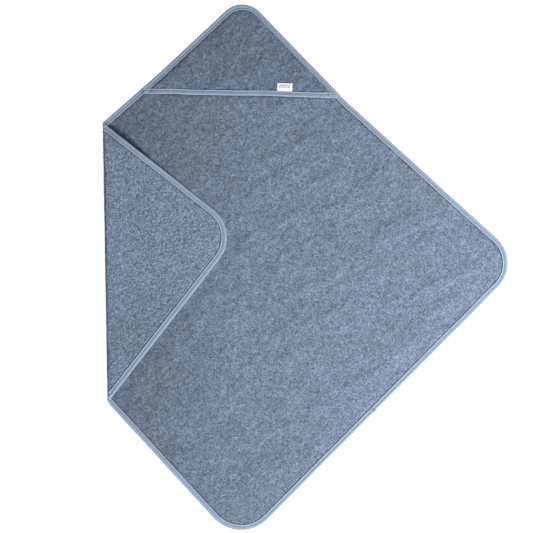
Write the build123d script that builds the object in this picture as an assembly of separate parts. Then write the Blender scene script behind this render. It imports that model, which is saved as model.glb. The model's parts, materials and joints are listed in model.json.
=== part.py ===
from build123d import *
import os
from math import atan2, degrees, hypot

# Hooded baby towel lying flat, with its left corner folded over onto the body.
# Millimetres. +X runs along the hood's hem, +Y up to the hood's tip and +Z up from the
# surface that the towel lies on. The origin is the centre of the outline, on that surface.

# Outline of the opened towel, as it lies: where its straight sides would meet.
hood_tip = (-126.4, 554.0)
right_kink = (86.6, 334.0)
right_corner = (442.6, 11.0)
bottom_corner = (-132.4, -568.0)
left_corner = (-694.4, 46.0)
left_kink = (-297.4, 394.0)
tip_radius = 51.0
right_radius = 70.0
bottom_radius = 77.0
left_radius = 73.0
kink_radius = 300.0

# The folded corner: the fold runs up the left side, and the corner lies to its right. Its
# flat part starts fold_round in, at the axis that the cloth bends round.
fold_x = -406.4
fold_tilt = 1.0
fold_gap = 0.3
fold_round = 5.0
flap_top = (-411.6, 294.2)
flap_tip = (-130.4, 74.0)
flap_bottom = (-401.6, -274.0)
flap_radius = 73.0

# Towelling and the woven tape that binds its edges.
terry_thick = 3.0
layer_gap = 0.5
tape_width = 11.0
tape_thick = 0.6
fit_gap = 0.05
tongue_thick = 1.7
double_height = 5.5
stitch_in = 7.2
stitch_width = 0.6
stitch_depth = 0.25

# The hood: a second layer over the tip, open along its bound hem.
hem_centre = (-129.8, 353.8)
hem_tilt = -1.3
hem_width = 10.8
hem_stitch_in = 7.4
hood_clearance = 0.5

# The woven loop label, sewn to the hem's upper edge.
label_along_hem = 87.5
label_width = 31.0
label_length = 17.5
label_ply = 0.3
label_lift = 0.3

# The overlapped join where the binding starts and ends.
join_from_bottom = 388.0
join_length = 8.0
join_ply = 0.5
join_edge_gap = 1.0

# Heights of the layers above the surface.
lower_layer = 0.0
upper_layer = terry_thick + layer_gap
tongue_inset = tape_thick + fit_gap
sewn_edge_gap = 0.1
far = 1200.0


def rounded_outline(corners, radii):
    return make_face(FilletPolyline(*corners, radius=radii, close=True))


def inset(outline, distance):
    return offset(outline, amount=-distance) if distance else outline


def ring(outline, outer, inner):
    return inset(outline, outer) - inset(outline, inner)


def beyond(start, end):
    # a point past the end, half as far again from the start
    return end[0] + (end[0] - start[0]) / 2, end[1] + (end[1] - start[1]) / 2


def slab(sketch, bottom, top):
    return Pos(0, 0, bottom) * extrude(sketch, amount=top - bottom, dir=(0, 0, 1))


def beside_fold(gap):
    # everything to the right of the fold line, less a gap
    return fold_place * Pos(gap + far / 2, 0) * Rectangle(far, 2 * far)


def above_hem(height):
    # everything above a line that runs parallel to the hem's centre line
    return hem_place * Pos(0, height + far / 2) * Rectangle(2 * far, far)


def below_hem(height):
    return hem_place * Pos(0, height - far / 2) * Rectangle(2 * far, far)


def stitch_lines(outline, clip, bottom, top):
    # the needle thread on the upper side and the bobbin thread on the lower one
    line = ring(outline, stitch_in, stitch_in + stitch_width) & clip
    return slab(line, top - stitch_depth, top), slab(line, bottom, bottom + stitch_depth)


def folded_tape(outline, clip, bottom, top):
    # a U of tape: an outer wall and two legs, open towards the towelling
    wall = slab(ring(outline, 0, tape_width) & clip, bottom, top)
    mouth = slab(ring(outline, tape_thick, tape_width) & clip, bottom + tape_thick, top - tape_thick)
    tape = wall - mouth
    for line in stitch_lines(outline, clip, bottom, top):
        tape -= line
    return tape


def bound_panel(outline, clip, bottom):
    # full towelling inside the tape, and a pressed tongue that the tape holds
    full = slab(inset(outline, tape_width + fit_gap) & clip, bottom, bottom + terry_thick)
    tongue = slab(
        inset(outline, tongue_inset) & clip,
        bottom + tongue_inset,
        bottom + tongue_inset + tongue_thick,
    )
    return full + tongue


def save(name, shape):
    shape.label = name
    export_step(shape, f"parts/{name}.step")


fold_place = Pos(fold_x, 0) * Rot(0, 0, fold_tilt)
hem_place = Pos(*hem_centre) * Rot(0, 0, hem_tilt)
towel = rounded_outline(
    [hood_tip, right_kink, right_corner, bottom_corner, left_corner, left_kink],
    [tip_radius, kink_radius, right_radius, bottom_radius, left_radius, kink_radius],
)
flap = rounded_outline(
    [beyond(flap_tip, flap_top), flap_tip, beyond(flap_tip, flap_bottom)],
    [0, flap_radius, 0],
)
open_side = beside_fold(fold_gap)
corner_side = beside_fold(fold_round + fold_gap)
hood_side = above_hem(-hem_width / 2)
plain_side = open_side & below_hem(-hem_width / 2)


def body_pieces():
    panel = bound_panel(towel, open_side, lower_layer)
    plain_tape = folded_tape(towel, plain_side, lower_layer, terry_thick)
    hood_tape = folded_tape(towel, hood_side, lower_layer, double_height)
    plain_lines = stitch_lines(towel, plain_side, lower_layer, terry_thick)
    hood_lines = stitch_lines(towel, hood_side, lower_layer, double_height)
    return panel, plain_tape + hood_tape, Compound(children=[*plain_lines, *hood_lines])


def hood_sewn_edge():
    # the hood's own edge, held in the binding above the body panel's tongue
    bottom = tongue_inset + tongue_thick + sewn_edge_gap
    top = double_height - tongue_inset
    return slab(ring(towel, tongue_inset, tape_width) & hood_side, bottom, top)


def binding_join():
    # the tape's end, folded under and laid over its start: across the top and down the edge
    run_x = right_corner[0] - bottom_corner[0]
    run_y = right_corner[1] - bottom_corner[1]
    share = join_from_bottom / hypot(run_x, run_y)
    place = Pos(bottom_corner[0] + share * run_x, bottom_corner[1] + share * run_y)
    place *= Rot(0, 0, degrees(atan2(run_y, run_x)))
    across = tape_width - join_edge_gap
    top = terry_thick + join_ply
    over = Pos(0, across / 2) * Rectangle(join_length, across)
    edge = Pos(0, -join_ply / 2) * Rectangle(join_length, join_ply)
    cap = slab(place * over, terry_thick, top) + slab(place * edge, lower_layer, top)
    seam = Pos(0, across / 2) * Rectangle(stitch_width, across)
    return cap, slab(place * seam, top, top + stitch_depth)


def corner_pieces():
    panel = bound_panel(flap, corner_side, upper_layer)
    tape = folded_tape(flap, corner_side, upper_layer, upper_layer + terry_thick)
    lines = stitch_lines(flap, corner_side, upper_layer, upper_layer + terry_thick)
    return panel, tape, Compound(children=list(lines))


def hood_pieces():
    # the hood's free part, inside the binding that holds its sewn edge
    free = inset(towel, tape_width + hood_clearance)
    low = -hem_width / 2
    top = upper_layer + terry_thick
    full = slab(free & above_hem(-low + fit_gap), upper_layer, top)
    tongue_low = upper_layer + tongue_inset
    tongue = slab(free & above_hem(low + tongue_inset), tongue_low, tongue_low + tongue_thick)
    strip = free & above_hem(low) & below_hem(-low)
    mouth = free & above_hem(low + tape_thick) & below_hem(-low)
    line = free & above_hem(low + hem_stitch_in) & below_hem(low + hem_stitch_in + stitch_width)
    lines = [slab(line, top - stitch_depth, top), slab(line, upper_layer, upper_layer + stitch_depth)]
    tape = slab(strip, upper_layer, top) - slab(mouth, upper_layer + tape_thick, top - tape_thick)
    tape = tape - lines[0] - lines[1]
    return full + tongue, tape, Compound(children=lines)


def woven_label():
    # a loop of ribbon: two plies and the fold that joins them at the free end
    start = hem_width / 2 + layer_gap
    bottom = upper_layer + terry_thick + label_lift
    thick = 3 * label_ply
    straight = label_length - thick / 2
    ribbon = Pos(straight / 2, 0) * Rectangle(straight, thick) + Pos(straight, 0) * Circle(thick / 2)
    gap = Pos(straight / 2, 0) * Rectangle(straight, label_ply) + Pos(straight, 0) * Circle(label_ply / 2)
    section = Plane(origin=(label_along_hem, start, bottom + thick / 2), x_dir=(0, 1, 0), z_dir=(1, 0, 0))
    loop = extrude(section * (ribbon - gap), amount=label_width / 2, both=True)
    return hem_place * loop


os.makedirs("parts", exist_ok=True)
body_panel, edge_binding, edge_topstitch = body_pieces()
join_cap, join_stitch = binding_join()
corner_panel, corner_binding, corner_topstitch = corner_pieces()
hood_panel, hood_binding, hood_topstitch = hood_pieces()
save("body_panel", body_panel)
save("edge_binding", edge_binding)
save("edge_topstitch", edge_topstitch)
save("hood_sewn_edge", hood_sewn_edge())
save("binding_join", join_cap)
save("join_stitch", join_stitch)
save("corner_panel", corner_panel)
save("corner_binding", corner_binding)
save("corner_topstitch", corner_topstitch)
save("hood_panel", hood_panel)
save("hood_binding", hood_binding)
save("hood_topstitch", hood_topstitch)
save("woven_label", woven_label())
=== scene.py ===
import json
import math
import bmesh
import bpy
import numpy as np
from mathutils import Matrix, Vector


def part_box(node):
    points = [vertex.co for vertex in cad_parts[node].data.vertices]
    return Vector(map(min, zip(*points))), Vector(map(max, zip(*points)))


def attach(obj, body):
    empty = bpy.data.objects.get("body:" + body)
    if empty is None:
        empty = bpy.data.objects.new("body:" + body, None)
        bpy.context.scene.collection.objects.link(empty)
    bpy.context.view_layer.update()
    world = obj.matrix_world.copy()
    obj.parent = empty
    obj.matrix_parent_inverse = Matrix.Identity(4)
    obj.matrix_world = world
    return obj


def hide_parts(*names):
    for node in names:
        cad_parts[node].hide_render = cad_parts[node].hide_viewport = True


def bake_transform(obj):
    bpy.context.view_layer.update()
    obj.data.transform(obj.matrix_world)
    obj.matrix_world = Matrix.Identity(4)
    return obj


# A hooded baby towel, lying flat with its left corner folded over onto the body.
# Metres, in the frame of the CAD model: +X along the hood's hem, +Y to the hood's tip, +Z up.
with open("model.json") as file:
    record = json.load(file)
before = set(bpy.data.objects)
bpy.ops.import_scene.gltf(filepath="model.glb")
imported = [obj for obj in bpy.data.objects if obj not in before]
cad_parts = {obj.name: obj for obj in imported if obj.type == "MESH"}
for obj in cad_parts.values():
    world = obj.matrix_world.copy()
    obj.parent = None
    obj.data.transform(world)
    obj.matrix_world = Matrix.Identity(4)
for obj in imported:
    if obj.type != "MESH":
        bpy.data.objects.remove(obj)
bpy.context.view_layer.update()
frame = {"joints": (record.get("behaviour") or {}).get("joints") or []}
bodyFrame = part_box("body_panel")
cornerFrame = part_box("corner_panel")
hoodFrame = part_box("hood_panel")
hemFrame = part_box("hood_binding")
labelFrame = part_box("woven_label")
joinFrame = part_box("binding_join")
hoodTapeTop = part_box("edge_binding")[1].z
jointNamed = {joint["name"]: joint for joint in frame["joints"]}

# Where the towel's straight sides would meet, anticlockwise from the hood's tip, and how
# each corner is rounded. The same cut as the CAD panels, opened out flat.
towelCut = {
    "tip": (-0.1264, 0.5540, 0.051),
    "leftBend": (-0.2974, 0.3940, 0.300),
    "leftCorner": (-0.6944, 0.0460, 0.073),
    "bottomCorner": (-0.1324, -0.5680, 0.077),
    "rightCorner": (0.4426, 0.0110, 0.070),
    "rightBend": (0.0866, 0.3340, 0.300),
}

# The folded corner as it lies: its two sides run out past the fold, and meet at its point.
cornerCut = {
    "lower": (-0.4016, -0.2740),
    "point": (-0.1304, 0.0740),
    "upper": (-0.4116, 0.2942),
    "rounding": 0.073,
}

tapeCut = {"width": 0.011, "stitchIn": 0.0075, "step": 0.003}
terryCut = {"pitch": 0.0030, "cornerPitch": 0.0020, "hoodPitch": 0.0025, "edgeDepth": 0.0055}


# shapes in plan
def ease(value, low, high):
    # 0 below low, 1 above high, and a smooth turn between
    share = np.clip((value - low) / (high - low), 0, 1)
    return share * share * (3 - 2 * share)


def softNoise(points, size, seed):
    # smooth random heights from -1 to 1, with bumps about size across
    lattice = np.random.default_rng(seed).uniform(-1, 1, (257, 257))
    cells = points / size
    whole = np.floor(cells).astype(int)
    part = cells - whole
    part = part * part * (3 - 2 * part)
    x0, y0 = whole[:, 0] % 257, whole[:, 1] % 257
    x1, y1 = (x0 + 1) % 257, (y0 + 1) % 257
    near = lattice[x0, y0] * (1 - part[:, 0]) + lattice[x1, y0] * part[:, 0]
    distant = lattice[x0, y1] * (1 - part[:, 0]) + lattice[x1, y1] * part[:, 0]
    return near + (distant - near) * part[:, 1]


def turned(points, degrees):
    angle = math.radians(degrees)
    along = points @ np.array([math.cos(angle), math.sin(angle)])
    across = points @ np.array([-math.sin(angle), math.cos(angle)])
    return np.stack([along, across], axis=1)


def roundedLine(corners, step):
    # a closed line through (x, y, radius) corners, each turned on an arc
    places = np.array([corner[:2] for corner in corners])
    line = []
    neighbours = zip(np.roll(places, 1, 0), places, np.roll(places, -1, 0))
    for index, (before, corner, after) in enumerate(neighbours):
        radius = corners[index][2]
        into = (corner - before) / np.linalg.norm(corner - before)
        out = (after - corner) / np.linalg.norm(after - corner)
        turn = math.atan2(into[0] * out[1] - into[1] * out[0], into @ out)
        start = corner - into * radius * math.tan(abs(turn) / 2)
        centre = start + radius * math.copysign(1, turn) * np.array([-into[1], into[0]])
        arm = start - centre
        count = max(2, round(radius * abs(turn) / step))
        for angle in np.linspace(0, turn, count + 1):
            cos, sin = math.cos(angle), math.sin(angle)
            line.append(centre + [arm[0] * cos - arm[1] * sin, arm[0] * sin + arm[1] * cos])
    return np.array(line)


def evenLine(line, step):
    # the same open line, with points about step apart
    lengths = np.concatenate([[0], np.cumsum(np.hypot(*np.diff(line, axis=0).T))])
    count = max(2, round(lengths[-1] / step))
    marks = np.linspace(0, lengths[-1], count + 1)
    placed = [np.interp(marks, lengths, line[:, axis]) for axis in (0, 1)]
    return np.stack(placed, axis=1), marks


def leftNormals(line):
    run = np.gradient(line, axis=0)
    run /= np.linalg.norm(run, axis=1)[:, None]
    return np.stack([-run[:, 1], run[:, 0]], axis=1)


def insideDepth(points, outline):
    # how far each point lies inside a closed outline, negative outside it
    nearest = np.full(len(points), 9.0)
    inside = np.zeros(len(points), bool)
    for start, end in zip(outline, np.roll(outline, -1, 0)):
        run = end - start
        away = points - start
        share = np.clip(away @ run / max(run @ run, 1e-12), 0, 1)
        gap = away - share[:, None] * run
        nearest = np.minimum(nearest, np.hypot(gap[:, 0], gap[:, 1]))
        if start[1] != end[1]:
            spans = (start[1] > points[:, 1]) != (end[1] > points[:, 1])
            inside ^= spans & (away[:, 0] < away[:, 1] * run[0] / run[1])
    return np.where(inside, nearest, -nearest)


# places on the towel
foldAxis = np.array(jointNamed["corner_fold"]["pos_m"][:2])
foldHeight = jointNamed["corner_fold"]["pos_m"][2]
foldAlong = -np.array(jointNamed["corner_fold"]["axis"][:2])
foldRight = np.array([foldAlong[1], -foldAlong[0]])
hemCentre = np.array([(hemFrame[0].x + hemFrame[1].x) / 2, (hemFrame[0].y + hemFrame[1].y) / 2])
hemAlong = -np.array(jointNamed["hood_lift"]["axis"][:2])
hemUp = np.array([-hemAlong[1], hemAlong[0]])
hemHalf = 0.0054
bodyThick = bodyFrame[1].z - bodyFrame[0].z
hoodLow = hoodFrame[0].z
hoodTop = hoodFrame[1].z
towelLine = roundedLine(list(towelCut.values()), 0.005)
cornerOut = 0.5 * (np.array(cornerCut["upper"]) - cornerCut["point"])
cornerIn = 0.5 * (np.array(cornerCut["lower"]) - cornerCut["point"])
cornerEnds = (np.array(cornerCut["lower"]) + cornerIn, np.array(cornerCut["upper"]) + cornerOut)
cornerLine = roundedLine(
    [(*cornerEnds[0], 0.001), (*cornerCut["point"], cornerCut["rounding"]), (*cornerEnds[1], 0.001)], 0.005
)
labelMiddle = np.array([(labelFrame[0].x + labelFrame[1].x) / 2, (labelFrame[0].y + labelFrame[1].y) / 2])


def rightOfFold(points):
    return (points - foldAxis) @ foldRight


def alongFold(points):
    return (points - foldAxis) @ foldAlong


def aboveHem(points):
    return (points - hemCentre) @ hemUp


def cornerDepth(points):
    return insideDepth(points, cornerLine)


# how the cloth lies, in metres
lie = {
    "broadRise": 0.0012,
    "middleRise": 0.0007,
    "slantRise": 0.0014,
    "slantDegrees": 26,
    "clumpRise": 0.00055,
    "tuftRise": 0.00085,
    "cornerLift": 0.0034,
    "mouthLift": 0.0036,
    "mouthShade": 0.75,
    "mouthWidth": 0.0125,
    "mouthLength": 0.150,
    "hoodRise": 0.0026,
    "hemShade": 0.75,
}

# terry thins to a tongue where tape holds it, from tongueLow to tongueTop in the bound edge
held = {"tongueLow": 0.0011, "tongueTop": 0.0019, "hoodLow": 0.0024, "hoodTop": 0.0035,
        "from": 0.0108, "to": 0.0145}


def rolling(points):
    # the towel's gentle rise and fall, never below the surface it lies on
    broad = 0.5 + 0.5 * softNoise(points, 0.085, 11)
    middle = 0.5 + 0.5 * softNoise(points, 0.034, 12)
    slant = turned(points, lie["slantDegrees"]) / [0.110, 0.021]
    ridge = ease(softNoise(slant, 1.0, 13), -0.1, 0.9)
    ridgeShare = ease(points[:, 0], -0.30, 0.05) * ease(points[:, 1], -0.50, -0.20)
    return lie["broadRise"] * broad + lie["middleRise"] * middle + lie["slantRise"] * ridge * ridgeShare


def pile(points, seed):
    # clumps and tufts of loops
    clump = lie["clumpRise"] * softNoise(turned(points, 29), 0.0085, seed)
    tuft = softNoise(turned(points, 17), 0.0043, seed + 1) + softNoise(turned(points, 62), 0.0033, seed + 2)
    return clump + 0.5 * lie["tuftRise"] * tuft


def bodyTop(points):
    depth = insideDepth(points, towelLine)
    free = ease(depth, held["from"], held["to"])
    press = 0.0019 * ease(cornerDepth(points), -0.022, -0.004) * ease(alongFold(points), 0.10, 0.23)
    rise = rolling(points) * looseShare(points) + pile(points, 21) - press
    return held["tongueTop"] + free * (bodyThick - held["tongueTop"] + rise)


def looseShare(points):
    # 1 where the body lies loose, 0 by its edge, under the folded corner and under the hood
    loose = ease(insideDepth(points, towelLine), 0.015, 0.055) * ease(rightOfFold(points), 0.0, 0.03)
    return loose * ease(-cornerDepth(points), 0.0, 0.03) * (1 - ease(aboveHem(points), -0.03, 0.0))


def bodyPaintedShade(points):
    # painted shade on the pile: a painted shadow beside the lifted end of the folded corner's upper edge,
    # under the hem's lower edge, and painted shade along the bound edge; it stays on the cloth when the
    # corner is opened or the hood lifted
    fromEdge = -cornerDepth(points)
    upperRun = cornerOut / np.linalg.norm(cornerOut)
    down = (cornerCut["upper"] - points) @ upperRun
    closing = 1 - ease(down, 0.045, lie["mouthLength"])
    width = 0.0005 + lie["mouthWidth"] * ease(down, 0.002, 0.026) * closing
    mouth = lie["mouthShade"] * (1 - ease(fromEdge, 0.85 * width, width)) * ease(fromEdge, -0.004, 0.001)
    mouth = mouth * ease(alongFold(points), 0.1, 0.15)
    underHem = 1 - ease(-hemHalf - aboveHem(points), 0.0, 0.0040)
    underHem = lie["hemShade"] * underHem * ease(insideDepth(points, towelLine), 0.018, 0.035)
    return np.maximum(seamShade(insideDepth(points, towelLine)), np.maximum(mouth, underHem))


def bodyPaintedFalloff(points):
    # painted shade for the light falling off: 1 by the fold and in the lower half
    low = 0.55 * (1 - ease(points[:, 1], -0.50, -0.05)) * (1 - ease(points[:, 0], -0.10, 0.15))
    return np.maximum(1 - ease(points[:, 0], -0.36, -0.08), low)


def cornerPaintedFalloff(points):
    # painted shade for the light falling off: 1 towards the folded corner's lower end
    return 1 - ease(alongFold(points), -0.20, 0.04)


def noPaintedFalloff(points):
    return np.zeros(len(points))


def bodyBottom(points):
    free = ease(insideDepth(points, towelLine), held["from"], held["to"])
    loops = 0.0002 * (1 + softNoise(points, 0.008, 23))
    return held["tongueLow"] * (1 - free) + free * looseShare(points) * (0.85 * rolling(points) + loops)


def cornerRise(points):
    # how far the folded corner still stands above its place on the body
    right = rightOfFold(points)
    settle = lie["cornerLift"] * (1 - ease(right, 0.0, 0.048))
    fromUpper = np.abs(crossOf(points - cornerCut["upper"], cornerOut))
    lifted = (1 - ease(fromUpper, 0.004, 0.075)) * (1 - ease(right, 0.050, 0.190))
    mouth = lie["mouthLift"] * (1 - ease(fromUpper, 0.0, 0.040))
    mouth = mouth * ease(right, 0.0, 0.03) * (1 - ease(right, 0.04, 0.14))
    return np.maximum(settle, lie["cornerLift"] * lifted + mouth)


def crossOf(points, run):
    return (points[:, 0] * run[1] - points[:, 1] * run[0]) / np.linalg.norm(run)


def cornerTop(points):
    depth = cornerDepth(points)
    free = ease(depth, held["from"], held["to"])
    roll = 0.0003 + 0.0004 * softNoise(points, 0.045, 31) * ease(depth, 0.012, 0.04)
    waver = 2.2 * softNoise(points, 0.012, 33)
    rows = 0.00030 * np.sin(turned(points, 43)[:, 1] * 2 * math.pi / 0.0047 + waver)
    tufts = 0.00055 * softNoise(points, 0.0027, 34) + 0.00030 * softNoise(points, 0.0065, 35)
    low = cornerFrame[0].z + held["tongueTop"] + cornerRise(points)
    return low + free * (bodyThick - held["tongueTop"] + roll + rows + tufts)


def cornerBottom(points):
    depth = cornerDepth(points)
    free = ease(depth, held["from"], held["to"])
    return cornerFrame[0].z + held["tongueLow"] * (1 - free) + cornerRise(points)


def hoodDepth(points):
    return np.minimum(insideDepth(points, towelLine), aboveHem(points) + hemHalf)


def hoodFree(points):
    # 0 where the hood is held in the binding, 1 where it lies free
    return ease(insideDepth(points, towelLine), 0.009, 0.018)


def hoodTopHeight(points):
    sewn = insideDepth(points, towelLine)
    outOfTape = ease(sewn, 0.0100, 0.0128) * ease(aboveHem(points), hemHalf - 0.0002, hemHalf + 0.0030)
    underLabel = 1 - ease(np.abs((points - labelMiddle) @ hemAlong), 0.018, 0.034)
    underLabel = underLabel * (1 - ease(np.abs((points - labelMiddle) @ hemUp), 0.012, 0.030))
    broad = 0.5 + 0.5 * softNoise(points, 0.070, 41)
    middle = 0.5 + 0.5 * softNoise(turned(points, 48) / [0.075, 0.026], 1.0, 42)
    swell = lie["hoodRise"] * (0.40 * broad + 0.60 * middle) * ease(hoodDepth(points), 0.014, 0.050)
    thin = held["tongueLow"]
    low = held["hoodTop"] + (hoodTop - thin - held["hoodTop"]) * hoodFree(points)
    loops = pile(points, 43) * (1 - 0.7 * underLabel)
    return low + outOfTape * (thin + swell * (1 - underLabel) + loops)


def hoodBottomHeight(points):
    sewn = insideDepth(points, towelLine)
    inTape = 1 - ease(aboveHem(points), hemHalf - 0.0006, hemHalf + 0.003)
    return held["hoodLow"] + (hoodLow + 0.0012 * inTape - held["hoodLow"]) * hoodFree(points)


def meshFrom(name, points, polygons, place, **marks):
    # a smooth mesh whose clothPlace attribute keeps each point's place on the flat cloth; marks
    # are further numbers kept at each point, from 0 to 1, for its material
    mesh = bpy.data.meshes.new(name)
    mesh.vertices.add(len(points))
    mesh.vertices.foreach_set("co", np.asarray(points, np.float32).ravel())
    corners = np.concatenate([np.asarray(group).ravel() for group in polygons])
    sizes = np.concatenate([np.full(len(group), np.asarray(group).shape[1]) for group in polygons])
    mesh.loops.add(len(corners))
    mesh.loops.foreach_set("vertex_index", corners.astype(np.int32))
    mesh.polygons.add(len(sizes))
    mesh.polygons.foreach_set("loop_start", (np.cumsum(sizes) - sizes).astype(np.int32))
    mesh.polygons.foreach_set("use_smooth", np.ones(len(sizes), bool))
    mesh.update(calc_edges=True)
    flat = np.zeros((len(points), 3), np.float32)
    flat[:, :place.shape[1]] = place
    mesh.attributes.new("clothPlace", "FLOAT_VECTOR", "POINT").data.foreach_set("vector", flat.ravel())
    for mark, values in marks.items():
        mesh.attributes.new(mark, "FLOAT", "POINT").data.foreach_set("value", np.asarray(values, np.float32))
    mesh.validate()
    return mesh


def pieceFrom(mesh, material):
    piece = bpy.data.objects.new(mesh.name, mesh)
    bpy.context.scene.collection.objects.link(piece)
    mesh.materials.append(material)
    return piece


def cutMesh(mesh, point, away):
    # cuts off what lies on the away side of an upright plane, and closes the cut
    shape = bmesh.new()
    shape.from_mesh(mesh)
    everything = shape.verts[:] + shape.edges[:] + shape.faces[:]
    cut = bmesh.ops.bisect_plane(
        shape, geom=everything, dist=1e-6, plane_co=(*point, 0), plane_no=(*away, 0), clear_outer=True
    )
    rim = [item for item in cut["geom_cut"] if isinstance(item, bmesh.types.BMEdge)]
    bmesh.ops.edgeloop_fill(shape, edges=rim)
    for edge in rim:
        edge.smooth = False
    shape.to_mesh(mesh)
    shape.free()
    return mesh


def seamShade(depth):
    # painted shade along a bound edge, in the gap beside the tape: 1 at the tape
    return 1 - ease(depth, 0.0110, 0.0140)


def terryMesh(name, region, depthOf, topOf, bottomOf, pressedOf, leanOf, heading, pitch):
    # a closed cloth on a square grid: fine cells on its upper face, cells twice the size below
    spread = turned(region, heading)
    low = spread.min(0) - pitch
    count = np.ceil((spread.max(0) + pitch - low) / (2 * pitch)).astype(int)
    cellX, cellY = np.meshgrid(np.arange(count[0]), np.arange(count[1]), indexing="ij")
    centres = turned(low + (np.stack([cellX.ravel(), cellY.ravel()], axis=1) + 0.5) * 2 * pitch, -heading)
    kept = (depthOf(centres) >= terryCut["edgeDepth"]).reshape(count)
    a, b = np.nonzero(kept)

    def numbered(shape, reach, scale):
        used = np.zeros(shape, bool)
        for stepX in range(reach + 1):
            for stepY in range(reach + 1):
                used[scale * a + stepX, scale * b + stepY] = True
        numbers = np.full(shape, -1)
        numbers[used] = np.arange(used.sum())
        return numbers, np.argwhere(used)

    fine, finePlaces = numbered(tuple(2 * count + 1), 2, 2)
    coarse, coarsePlaces = numbered(tuple(count + 1), 1, 1)
    finePoints = turned(low + finePlaces * pitch, -heading)
    coarsePoints = turned(low + coarsePlaces * 2 * pitch, -heading)
    coarse = coarse + len(finePoints)
    quads = []
    for stepX in (0, 1):
        for stepY in (0, 1):
            x, y = 2 * a + stepX, 2 * b + stepY
            quads.append(np.stack([fine[x, y], fine[x + 1, y], fine[x + 1, y + 1], fine[x, y + 1]], axis=1))
    quads.append(np.stack([coarse[a, b], coarse[a, b + 1], coarse[a + 1, b + 1], coarse[a + 1, b]], axis=1))
    # a wall wherever a kept cell has no neighbour, from three fine points down to two coarse ones
    ring = [(0, 0), (1, 0), (1, 1), (0, 1)]
    sides = [(0, -1), (1, 0), (0, 1), (-1, 0)]
    padded = np.pad(kept, 1)
    walls = []
    for side in range(4):
        bare = ~padded[a + 1 + sides[side][0], b + 1 + sides[side][1]]
        x, y = a[bare], b[bare]
        start, end = ring[side], ring[(side + 1) % 4]
        middle = (start[0] + end[0], start[1] + end[1])
        walls.append(np.stack([
            fine[2 * (x + end[0]), 2 * (y + end[1])],
            fine[2 * x + middle[0], 2 * y + middle[1]],
            fine[2 * (x + start[0]), 2 * (y + start[1])],
            coarse[x + start[0], y + start[1]],
            coarse[x + end[0], y + end[1]],
        ], axis=1))
    flat = np.concatenate([finePoints, coarsePoints])
    heights = np.concatenate([topOf(finePoints), bottomOf(coarsePoints)])
    shape = np.column_stack([flat, heights])
    polygons = [np.concatenate(quads), np.concatenate(walls)]
    return meshFrom(name, shape, polygons, flat, pressed=pressedOf(flat),
                    lean=leanOf(flat))


def tapeSection():
    # half of a folded tape's closed section, as (across, height) in millimetres: out along its
    # face, over the turned-under edge, and back along its inside
    face = [(0.0, 0.0), (0.10, 0.55), (0.4, 1.0), (1.0, 1.34), (2.0, 1.52), (3.4, 1.50), (4.8, 1.38),
            (6.0, 1.18), (7.0, 1.04), (7.5, 1.00), (8.0, 1.08), (8.6, 1.36), (9.2, 1.66), (9.8, 1.72),
            (10.4, 1.58), (10.8, 1.30),
            (11.0, 0.95)]
    inside = [(10.7, 0.74), (9.2, 0.62), (7.5, 0.42), (4.0, 0.80), (1.6, 0.84), (0.9, 0.55), (0.65, 0.0)]
    upper = np.array(face + inside)
    lower = np.maximum(upper[1:-1][::-1] * [1, -1], [0, -1.5])  # flat against what it lies on
    return np.concatenate([upper, lower]) * 0.001


def sweepMesh(name, line, marks, middles, scales, section, pucker=0.0, evenBand=None, pressed=None):
    # carries a closed section along a line, with its height scaled by scales; evenBand is 1 where
    # the tape is flattened across, without its ridge; the last argument is painted shade along the tape
    inward = leftNormals(line)
    across, height = section[:, 0], section[:, 1]
    count, around = len(line), len(section)
    even = np.zeros(count) if evenBand is None else evenBand
    dark = np.zeros(count) if pressed is None else pressed
    flat = line[:, None, :] + inward[:, None, :] * across[None, :, None]
    onTape = np.stack([np.repeat(marks, around), np.tile(across * 0.4, count)], axis=1)
    ripple = softNoise(onTape, 0.0034, 51)
    ripple = ripple.reshape(count, around) * pucker * np.abs(height)[None, :] / 0.0015
    crest = 0.00175 - 0.00037 * even[:, None]
    heights = middles[:, None] + np.minimum(height[None, :], crest) * scales[:, None]
    heights = heights + ripple * np.sign(height)[None, :]
    points = np.concatenate([flat.reshape(-1, 2), heights.reshape(-1, 1)], axis=1)
    ringIndex = np.arange(count * around).reshape(count, around)
    first, second = ringIndex[:-1], ringIndex[1:]
    quads = np.stack([first, np.roll(first, -1, 1), np.roll(second, -1, 1), second], axis=2).reshape(-1, 4)
    caps = [ringIndex[:1, ::-1], ringIndex[-1:]]
    place = np.stack([np.repeat(marks, around), np.tile(across, count)], axis=1)
    return meshFrom(name, points, [quads, *caps], place, evenBand=np.repeat(even, around),
                    pressed=np.repeat(dark, around))


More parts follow.
